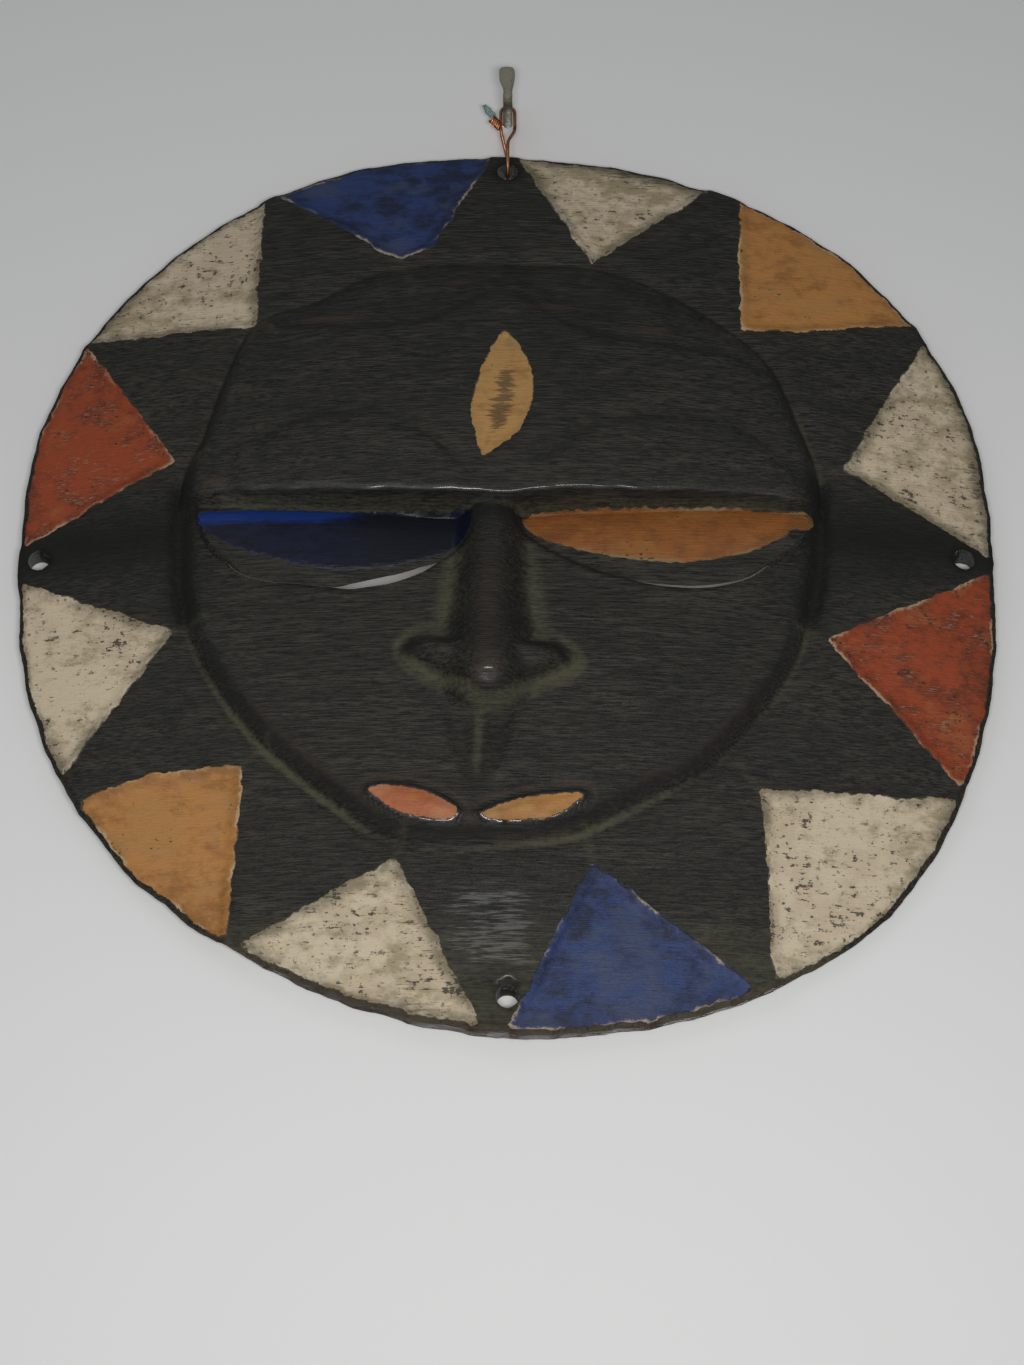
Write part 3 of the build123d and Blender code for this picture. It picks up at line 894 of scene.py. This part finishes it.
lower = ease((-20 - y) / 60)
grooveDust = 0.85 * swell(faceDepth + 0.4, 1.1 + 0.5 * lower) * (0.7 + 0.3 * np.sin(x / 19))
dustAndLight = strongest(
    grooveDust * (1 - 0.35 * ease((y - 55) / 40)),
    *[0.42 * beside(line, 2.4, 0.5) for line in browArcs],
    *[0.62 * beside(line, 6.5) * ease((4 - y) / 20) for line in noseSides],
    0.75 * swell(wingDepth + 0.5, 3.2) * ease((-50 - y) / 8),
    0.6 * swell(wingDepth + 3.0, 3.0) * ease((np.abs(x + 8) - 13) / 6),
    # painted sheen: paler toward the foot of the rim
    0.5 * ease((-138 - y) / 35) * ease(-faceDepth / 6),
    0.55 * beside(philtrumRidge, 2.8) * ease((y + 119) / 22))
dustAndLight = strongest(
    dustAndLight * (1 - 0.8 * temple),
    # painted light: paler on the brow's underside
    0.5 * ease(under / 0.6) * ease((4.5 - under) / 2) * ease((120 - np.abs(x + 2)) / 8),
    *[0.45 * beside(line, 3.6) for line in apexLines])

browShine = swell(browGap - 0.2, 1.1) * ease((118 - np.abs(x + 2)) / 6) * ease((0.45 - under) / 0.4)
shine = strongest(
    browShine * (0.5 + 0.5 * ease((20 - x) / 60)),
    *[ease((depth + 2.6) / 1.4) for depth in lipDepths],
    spot(-8, -71, 3.0))

rubbed = ((-72, 99, 17), (-118, 22, 8), (18, 104, 12), (-20, 119, 9), (60, 92, 10))
wear = strongest(
    swell(edgeGap, 1.5) * (0.35 + 0.5 * ease((-150 - y) / 40)),
    0.55 * swell(faceDepth - 6.0, 4.0) * ease((-30 - y) / 50) * ease((np.abs(x) - 20) / 40),
    *[0.8 * swell((x - midX) / width, 1) * swell(y - midY, 2.6) for midX, midY, width in rubbed],
    0.5 * swell(np.abs(x + 8), 11) * ease((-y - 5) / 10) * ease((y + 79) / 6),
    0.3 * ease(under / 0.8) * ease((5.5 - under) / 2),
    *[0.6 * swell(depth + 4.5, 1.6) for depth in lipDepths],
    0.3 * ease((wingDepth - 0.5) / 6))

# round each tie hole: a ring of dirt, and painted shade on the holes' walls
holeDirtAndShade = {"strength": 1.8, "front": 2.2, "back": 3}
sootAndShade = strongest(
    ease((np.abs(x + 3) - 127) / 6) * swell(y - 4, 17),
    # painted shade along the hairline crease and the brow-arc creases
    0.55 * beside(hairline, 1.5, -0.5),
    *[0.3 * beside(line, 1.5, -0.5) for line in browArcs],
    # painted shade: dark pits at the outer tips of the nose wings
    *[0.9 * spot(*corner, 3.4) for corner in ((-38.5, -53), (23.5, -58))],
    # painted shade in the steep temple grooves beside the eyes
    0.95 * temple * swell(faceDepth - 1.0, 7.5),
    # painted shade in the philtrum's hollow
    0.35 * ease((inward(frontPoints, philtrumLoop) + 1) / 5),
    # darker band just inside the edge of the lower face
    0.9 * swell(faceDepth - 4.5, 2.6) * ease((-25 - y) / 30),
    0.3 * swell(np.abs(x + 8), 10) * ease((-y - 2) / 10) * ease((y + 70) / 10),
    0.85 * swell(np.abs(x + 5) - 4, 11) * swell(y - 5, 8) * (faceDepth > 0),
    *[holeDirtAndShade["strength"] * spot(*hole, carving["holeRadius"] + holeDirtAndShade["front"])
      for hole in carving["holes"]])
# the same round the holes on the back, so that the holes' walls are painted dark all through and the gouged
# colour fades there
backHoleShade = strongest(*[
    swell(np.hypot(*(backPoints - hole).T), carving["holeRadius"] + holeDirtAndShade["back"])
    for hole in carving["holes"]])
# the foot of the rim: real polish for the clear coat, and painted glints there
polishAndGlints = swell(x + 6, 30) * ease((-136 - y) / 18) * ease((y + 186) / 12) * ease(-faceDepth / 6)

for name, values in (("dustAndLight", dustAndLight), ("shine", shine), ("wear", wear), ("sootAndShade", sootAndShade), ("polishAndGlints", polishAndGlints)):
    behindValues = holeDirtAndShade["strength"] * backHoleShade if name == "sootAndShade" else np.zeros(len(backPoints))
    setValues(mask.data, name, np.concatenate([values, behindValues]))
setValues(mask.data, "behind", np.concatenate([np.zeros(offset), 1 - backHoleShade]))
print("mask", len(mask.data.polygons), "faces")

# The coats of paint are cut from the carved surface itself.
coatFinish = {"rim_field_" + name: finish for name, (finish, corners) in fields.items()}
coatFinish |= {"eyelid_coat_left": "lidBlue", "eyelid_coat_right": "lidOrange",
               "forehead_lens_coat": "lens", "lip_coat_left": "lipOrange", "lip_coat_right": "lipOchre"}
coat = {"thickness": 0.35, "sunk": 0.45, "fade": 0.9}
surface = vertices[:offset]
cross = np.cross(surface[frontTriangles[:, 1]] - surface[frontTriangles[:, 0]],
                 surface[frontTriangles[:, 2]] - surface[frontTriangles[:, 0]])
surfaceNormals = np.zeros_like(surface)
for corner in range(3):
    np.add.at(surfaceNormals, frontTriangles[:, corner], cross)
surfaceNormals /= np.linalg.norm(surfaceNormals, axis=1)[:, None] + 1e-15


def coatPiece(node):
    loop = paintLoops[node]
    chosen = frontTriangles[within(middles, loop)]
    used = np.unique(chosen)
    number = {old: new for new, old in enumerate(used)}
    depth = nearLine(frontPoints[used], loop, True)
    lift = (coat["thickness"] * ease((depth + 0.1) / coat["fade"]) - 0.03) / 1000
    top = surface[used] + surfaceNormals[used] * lift[:, None]
    bottom = surface[used] - surfaceNormals[used] * coat["sunk"] / 1000
    count = len(used)
    faces = [tuple(number[i] for i in triangle) for triangle in chosen]
    edges = boundaryEdges(np.array(faces))
    faces += [(a + count, c + count, b + count) for a, b, c in faces]
    faces += [(b, a, a + count, b + count) for a, b in edges]
    name = node.replace("_", " ").title().replace(" ", "")
    piece = newMesh(name, np.vstack([top, bottom]), faces, [finishes[coatFinish[node]]])
    smoothShade(piece.data, 50)
    values = {"edge": depth}
    if node == "eyelid_coat_left":
        x, y = frontPoints[used].T
        # painted highlight along the top of the lid, on its outer part
        values["bright"] = ease((y - 1.5) / 8) * ease((-x - 42) / 42)
        values["dim"] = 0.9 * ease((x + 80) / 35) * ease((-19 - x) / 4)
    for name, both in values.items():
        setValues(piece.data, name, np.tile(both, 2))
    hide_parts(node)
    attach(piece, "mask")
    return piece


coats = [coatPiece(node) for node in paintLoops]
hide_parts("mask_disc")
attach(mask, "mask")
print("coats", len(coats))

# The wall hook is a painted rod with a flattened, upturned end.
hook = {"rod": 4.0, "anchor": 3.6, "bend": 4.5, "paddle": (6.9, 2.2), "neck": 6.0, "sides": 20}
hookLow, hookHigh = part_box("wall_hook")


def hookPath():
    # distance from the wall, height, half width and half thickness of each section
    half = hook["rod"] / 2
    reach = -hookLow.y * 1000 - half
    top = hookHigh.z * 1000
    wide, thick = hook["paddle"][0] / 2, hook["paddle"][1] / 2
    sections = [(-hookHigh.y * 1000, 0, 0.3, 0.3), (-hookHigh.y * 1000 + 2.5, 0, 1.3, 1.3)]
    sections += [(-d, 0, hook["anchor"] / 2, hook["anchor"] / 2) for d in (20, 12, 4, 0.6)]
    sections += [(d, 0, half, half) for d in (0, 3, 7, reach - hook["bend"])]
    for turn in (18, 36, 54, 72):
        a = math.radians(turn)
        out = reach - hook["bend"] + hook["bend"] * math.sin(a)
        sections.append((out, hook["bend"] * (1 - math.cos(a)), half, half))
    neck = hook["neck"]
    ends = ((neck - 2.5, half, half), (neck - 0.8, half * 0.97, half * 0.85), (neck + 0.8, 2.2, 1.4),
            (neck + 2.6, 2.75, thick * 1.1), (neck + 4.4, 3.2, thick), (neck + 6.4, wide, thick * 0.98),
            (top - 2.2, wide * 0.98, thick * 0.95), (top - 1.0, wide * 0.9, thick * 0.9),
            (top - 0.35, wide * 0.74, thick * 0.72), (top, wide * 0.4, thick * 0.35))
    lean = [max(0, end[0] - neck) * -0.03 for end in ends]
    sections += [(reach, z, w, t) for z, w, t in ends]
    return sections, [0.0] * (len(sections) - len(ends)) + lean


def tubeFaces(rows, sides, turned=False):
    # the faces of a closed tube of rings, turned where the rings run the other way round
    faces = []
    for row in range(rows - 1):
        for k in range(sides):
            a, b = row * sides + k, row * sides + (k + 1) % sides
            faces.append((a + sides, b + sides, b, a) if turned else (b, b + sides, a + sides, a))
    caps = [tuple(reversed(range(sides))), tuple(range((rows - 1) * sides, rows * sides))]
    return faces + [cap[::-1] if turned else cap for cap in caps]


def addHook():
    sections, lean = hookPath()
    vertices, bare = [], []
    sides = hook["sides"]
    places = [Vector((out, up)) for out, up, w, t in sections]
    for i, (out, up, w, t) in enumerate(sections):
        along = (places[min(i + 1, len(places) - 1)] - places[max(i - 1, 0)]).normalized()
        for k in range(sides):
            a = math.tau * k / sides
            side, lift = w * math.cos(a), t * math.sin(a)
            dent = 0.1 * noise.noise(Vector((side * 0.5, up * 0.4, out * 0.3)))
            vertices.append(((side * (1 + dent) + lean[i]) / 1000, -(out - along.y * lift) / 1000,
                             (up + along.x * lift) / 1000))
            bare.append(1.0 if out < 0.2 else 0.55 * (1 - min(1, max(0, up - 1) / 6)))
    piece = newMesh("wallHook", vertices, tubeFaces(len(sections), sides), [hookFinish()])
    setValues(piece.data, "bare", bare)
    smoothShade(piece.data, 50)
    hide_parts("wall_hook")
    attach(piece, "hook")


def hookFinish():
    finish = Finish("hookPaint", IOR=1.45)
    blot = finish.noise((500, 500, 380), 4.0, 0.65)
    fine = finish.noise((1500, 1500, 1500), 3.0, 0.6, (0.3, 0, 0))
    bare = (finish.attribute("bare") + (blot - 0.5) * 0.9 + (fine - 0.5) * 0.5).between(0.38, 0.6)
    colour = finish.mix(blot, (0.17, 0.165, 0.115), (0.27, 0.265, 0.2))
    colour = finish.mix((fine * 0.6 + blot * 0.6).between(0.68, 0.74) * 0.6, colour, (0.07, 0.06, 0.045))
    colour = finish.mix(bare * 0.9, colour, (0.055, 0.04, 0.03))
    rough = (0.55 + blot * 0.2).clamp()
    normal = finish.bump(blot + fine * 0.5 - bare, 0.0002, 0.8)
    return finish.set(Base_Color=colour, Roughness=rough, Normal=normal)


# The twisted ends of the wire are wound by geometry nodes. Insets are in metres from the
# corners of the piece's box, across and up, and radii are in millimetres.
winding = {"turns": 2.6, "strand": 0.6, "coil": 1.15, "flatness": 0.8, "points": 90,
           "startInset": (0.0012, 0.0013), "endInset": (0.0013, 0.0013)}
stub = {"radius": 1.55, "flatness": 0.75, "taper": 0.5, "ragged": 0.45, "rows": 12, "sides": 18,
        "startInset": (0.0008, 0.0012), "endInset": (0.0006, 0.0006)}


class Nodes:
    # geometry nodes joined up by name
    def __init__(self, name, sizes):
        self.tree = bpy.data.node_groups.new(name, "GeometryNodeTree")
        self.tree.interface.new_socket("Geometry", in_out="OUTPUT", socket_type="NodeSocketGeometry")
        self.sizes = {}
        for label, kind, value in sizes:
            item = self.tree.interface.new_socket(label, in_out="INPUT", socket_type="NodeSocket" + kind)
            item.default_value = value
            self.sizes[label] = item.identifier
        self.given = self.tree.nodes.new("NodeGroupInput")

    def size(self, label):
        return self.given.outputs[label]

    def add(self, kind, inputs=None, output=0):
        node = self.tree.nodes.new(kind)
        for name, item in (inputs or {}).items():
            if isinstance(item, bpy.types.NodeSocket):
                self.tree.links.new(item, node.inputs[name])
            else:
                node.inputs[name].default_value = item
        return node.outputs[output]

    def sum(self, operation, first, second=0.0):
        result = self.add("ShaderNodeMath", {0: first, 1: second})
        result.node.operation = operation
        return result


def windingTree(material):
    nodes = Nodes("wireWinding", [
        ("Start", "Vector", (0, 0, 0)), ("End", "Vector", (0, 0, 1)), ("Turns", "Float", 4.0),
        ("Coil radius", "Float", 0.001), ("Strand radius", "Float", 0.0006), ("Seed", "Int", 3)])
    ends = {label: nodes.size(label) for label in ("Start", "End")}
    line = nodes.add("GeometryNodeCurvePrimitiveLine", ends)
    fine = nodes.add("GeometryNodeResampleCurve", {"Curve": line, "Count": winding["points"]})
    along = nodes.add("GeometryNodeSplineParameter", output="Factor")
    jitter = nodes.add("FunctionNodeRandomValue", {"Min": 0.9, "Max": 1.1, "Seed": nodes.size("Seed")}, 1)
    both = nodes.tree.nodes.new("GeometryNodeJoinGeometry")
    for phase in (0.0, math.pi):
        turns = nodes.sum("MULTIPLY", along, nodes.size("Turns"))
        turn = nodes.sum("ADD", nodes.sum("MULTIPLY", turns, math.tau), phase)
        reach = nodes.sum("MULTIPLY", nodes.size("Coil radius"), jitter)
        across = nodes.sum("MULTIPLY", nodes.sum("COSINE", turn), reach)
        lift = nodes.sum("MULTIPLY", nodes.sum("SINE", turn), reach)
        flat = nodes.sum("MULTIPLY", across, winding["flatness"])
        shift = nodes.add("ShaderNodeCombineXYZ", {"X": flat, "Y": lift, "Z": across})
        moved = nodes.add("GeometryNodeSetPosition", {"Geometry": fine, "Offset": shift})
        nodes.tree.links.new(moved, both.inputs[0])
    section = nodes.add("GeometryNodeCurvePrimitiveCircle", {
        "Resolution": 10, "Radius": nodes.size("Strand radius")})
    tube = nodes.add("GeometryNodeCurveToMesh", {
        "Curve": both.outputs[0], "Profile Curve": section, "Fill Caps": True})
    tube = nodes.add("GeometryNodeRealizeInstances", {"Geometry": tube})
    tube = nodes.add("GeometryNodeSetMaterial", {"Geometry": tube, "Material": material})
    end = nodes.tree.nodes.new("NodeGroupOutput")
    nodes.tree.links.new(tube, end.inputs[0])
    return nodes


def diagonal(node, sizes):
    # from the lower right of a box to its upper left, in the middle of its depth
    low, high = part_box(node)
    middle = (low.y + high.y) / 2
    (startX, startZ), (endX, endZ) = sizes["startInset"], sizes["endInset"]
    return Vector((high.x - startX, middle, low.z + startZ)), Vector((low.x + endX, middle, high.z - endZ))


def addTwist(material):
    start, end = diagonal("wire_twist", winding)
    nodes = windingTree(material)
    holder = newMesh("wireTwist", [(0, 0, 0)], [], [material])
    modifier = holder.modifiers.new("winding", "NODES")
    modifier.node_group = nodes.tree
    wanted = {"Start": start, "End": end, "Turns": winding["turns"],
              "Coil radius": winding["coil"] / 1000, "Strand radius": winding["strand"] / 1000}
    for label, value in wanted.items():
        modifier[nodes.sizes[label]] = value
    bpy.context.view_layer.update()
    made = bpy.data.meshes.new_from_object(holder.evaluated_get(bpy.context.evaluated_depsgraph_get()))
    holder.modifiers.clear()
    holder.data = made
    made.materials.clear()
    made.materials.append(material)
    smoothShade(made, 60)
    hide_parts("wire_twist")
    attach(holder, "wire")


def copperFinish():
    finish = Finish("copperWire", Metallic=1.0)
    stain = finish.noise((700, 700, 300), 3.0, 0.6)
    fine = finish.noise((2500, 2500, 900), 2.0, 0.5, (0.2, 0, 0))
    colour = finish.mix(stain.between(0.4, 0.65), (0.62, 0.27, 0.13), (0.24, 0.1, 0.055))
    rough = (0.28 + stain * 0.3).clamp()
    return finish.set(Base_Color=colour, Roughness=rough, Normal=finish.bump(fine + stain, 0.0001, 0.6))


def addStub():
    # a torn scrap of sleeve on the longer end
    start, end = diagonal("insulation_stub", stub)
    along = (end - start).normalized()
    side = along.cross(Vector((0, 1, 0))).normalized()
    out = side.cross(along)
    rows, sides = stub["rows"], stub["sides"]
    vertices = []
    for row in range(rows):
        t = row / (rows - 1)
        for k in range(sides):
            a = math.tau * k / sides
            ragged = noise.noise(Vector((math.cos(a) * 1.5, math.sin(a) * 1.5, t * 4)))
            torn = max(0.0, t - 0.7) * 0.9 * noise.noise(Vector((math.cos(a) * 2.3, math.sin(a) * 2.3, 7)))
            radius = stub["radius"] / 1000 * (1 - stub["taper"] * t ** 2) * (1 + stub["ragged"] * ragged)
            centre = start.lerp(end, min(1.0, t + torn))
            vertices.append(centre + (side * math.cos(a) + out * math.sin(a) * stub["flatness"]) * radius)
    finish = Finish("sleeve", IOR=1.45)
    blot = finish.noise((700, 700, 700), 3.0, 0.6)
    colour = finish.mix(blot.between(0.35, 0.65), (0.12, 0.24, 0.24), (0.3, 0.36, 0.33))
    rough = (0.5 + blot * 0.3).clamp()
    finish.set(Base_Color=colour, Roughness=rough, Normal=finish.bump(blot, 0.0002, 0.7))
    piece = newMesh("insulationStub", vertices, tubeFaces(rows, sides, True), [finish.material])
    smoothShade(piece.data, 55)
    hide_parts("insulation_stub")
    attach(piece, "wire")


copper = copperFinish()
wire = frame["nodes"]["hanging_wire"]
wire.data.materials.clear()
wire.data.materials.append(copper)
addHook()
addTwist(copper)
addStub()
print("hook and wire ready")

cameraLook = {"at": (0.0, -1.55468, -1.00658), "rise": 25.4685, "turn": 0.067, "lens": 112.457}
stage = {"half": 3.0, "floor": -1.7, "top": 2.0, "front": -4.0, "far": -4.2, "roughness": 0.8}
lights = {
    "keyLight": {"place": (0.06, -1.52, -1.02), "aim": (0, 0, -0.47), "size": (0.7, 0.2), "power": 3.3,
                 "colour": (1.0, 0.985, 0.965), "spread": 75},
    "fillLight": {"place": (-0.9, -1.6, 0.9), "size": (1.2, 1.2), "power": 2.5},
    "backLight": {"place": (0.12, 1.6, -0.3), "size": (0.8, 0.8), "power": 32},
    "farLight": {"place": (0, -2.0, 1.9), "aim": (0, -4.2, -0.2), "size": (1.0, 1.0), "power": 45,
                 "spread": 80},
}
sky = {"colour": (0.9, 0.92, 0.95, 1), "lighting": 0.195, "seen": 0.62}


def addCamera():
    data = bpy.data.cameras.new("camera")
    data.lens = cameraLook["lens"]
    camera = bpy.data.objects.new("camera", data)
    bpy.context.scene.collection.objects.link(camera)
    rise, turn = math.radians(cameraLook["rise"]), math.radians(cameraLook["turn"])
    aim = Vector((math.sin(turn) * math.cos(rise), math.cos(turn) * math.cos(rise), math.sin(rise)))
    camera.location = cameraLook["at"]
    camera.rotation_euler = aim.to_track_quat("-Z", "Y").to_euler()
    bpy.context.scene.camera = camera


def oneSided(name, colour):
    # plaster that is seen from its front only, so that the back of the mask can be looked at
    finish = Finish(name, Roughness=stage["roughness"])
    connect(finish.tree, colour, finish.shader.inputs["Base Color"])
    clear = finish.tree.nodes.new("ShaderNodeBsdfTransparent")
    choice = finish.tree.nodes.new("ShaderNodeMixShader")
    behind = finish.node("NewGeometry", output="Backfacing")
    finish.tree.links.new(behind.socket, choice.inputs[0])
    finish.tree.links.new(finish.shader.outputs[0], choice.inputs[1])
    finish.tree.links.new(clear.outputs[0], choice.inputs[2])
    finish.tree.links.new(choice.outputs[0], finish.tree.nodes["Material Output"].inputs[0])
    return finish.material


def addStage():
    half, floor, top = stage["half"], stage["floor"], stage["top"]
    # each surface has half its width, less than 0 to face the other way, and two edges as y and z
    surfaces = {
        "wall": ("plaster", (0.74, 0.75, 0.75), half, (0, floor), (0, top)),
        "floor": ("paleFloor", (0.8, 0.79, 0.77), half, (stage["front"], floor), (0, floor)),
        "farWall": ("farPlaster", (0.8, 0.8, 0.8), -half, (stage["far"], floor), (stage["far"], top)),
    }
    for name, (finish, colour, end, low, high) in surfaces.items():
        corners = [(-end, *low), (end, *low), (end, *high), (-end, *high)]
        piece = newMesh(name, corners, [(0, 1, 2, 3)], [oneSided(finish, colour)])
        piece.visible_shadow = False
        piece.visible_diffuse = False
        piece.visible_glossy = False


def areaLight(name, place, size, power, aim=(0, 0, middleZ / 1000), colour=(1, 1, 1), spread=180):
    data = bpy.data.lights.new(name, "AREA")
    data.shape = "RECTANGLE"
    data.size, data.size_y = size
    data.energy = power
    data.color = colour
    data.spread = math.radians(spread)
    lamp = bpy.data.objects.new(name, data)
    lamp.location = place
    lamp.rotation_euler = (Vector(aim) - Vector(place)).to_track_quat("-Z", "Y").to_euler()
    lamp.visible_camera = False
    bpy.context.scene.collection.objects.link(lamp)


def addSky():
    world = bpy.data.worlds.new("studio")
    world.use_nodes = True
    tree = world.node_tree
    background = tree.nodes["Background"]
    background.inputs["Color"].default_value = sky["colour"]
    # what shows past the stage is paler than what lights the mask
    path = tree.nodes.new("ShaderNodeLightPath")
    level = tree.nodes.new("ShaderNodeMapRange")
    level.inputs["To Min"].default_value = sky["lighting"]
    level.inputs["To Max"].default_value = sky["seen"]
    tree.links.new(path.outputs["Is Camera Ray"], level.inputs["Value"])
    tree.links.new(level.outputs["Result"], background.inputs["Strength"])
    bpy.context.scene.world = world
    bpy.context.scene.view_settings.view_transform = "Standard"


addCamera()
addStage()
for name, light in lights.items():
    areaLight(name, **light)
addSky()
print("stage ready")
